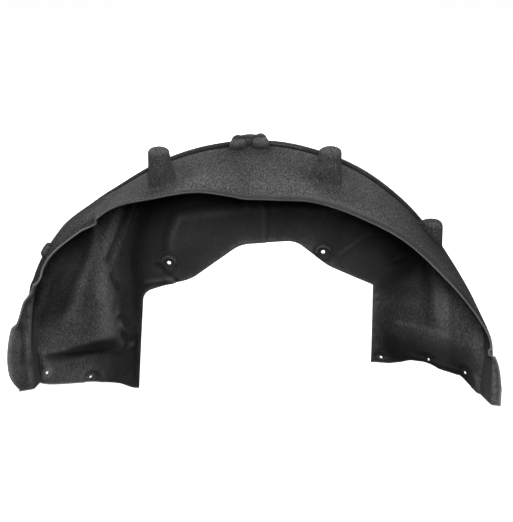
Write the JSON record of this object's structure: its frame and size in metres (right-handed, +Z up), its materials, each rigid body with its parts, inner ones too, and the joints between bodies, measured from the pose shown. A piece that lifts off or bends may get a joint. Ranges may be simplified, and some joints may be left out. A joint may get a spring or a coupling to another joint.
{
  "type": "wheel arch liner",
  "caption": "Pressed felt wheel arch liner: a deep arched shell with a cut-away inner wall, hollow posts, clip towers and clip holes.",
  "frame": {"origin": "centre of the left clip hole in the inner wall, in the wall's middle plane", "axes": "+X along the arch to the right as seen from outside the vehicle, +Y inward across the vehicle along the axle, +Z up as fitted"},
  "size_m": [0.9562, 0.2616, 0.5621],
  "materials": {
    "felt": "matte needled fibre"
  },
  "bodies": {
    "root": {"arch_liner": "felt"}
  },
  "joints": []
}
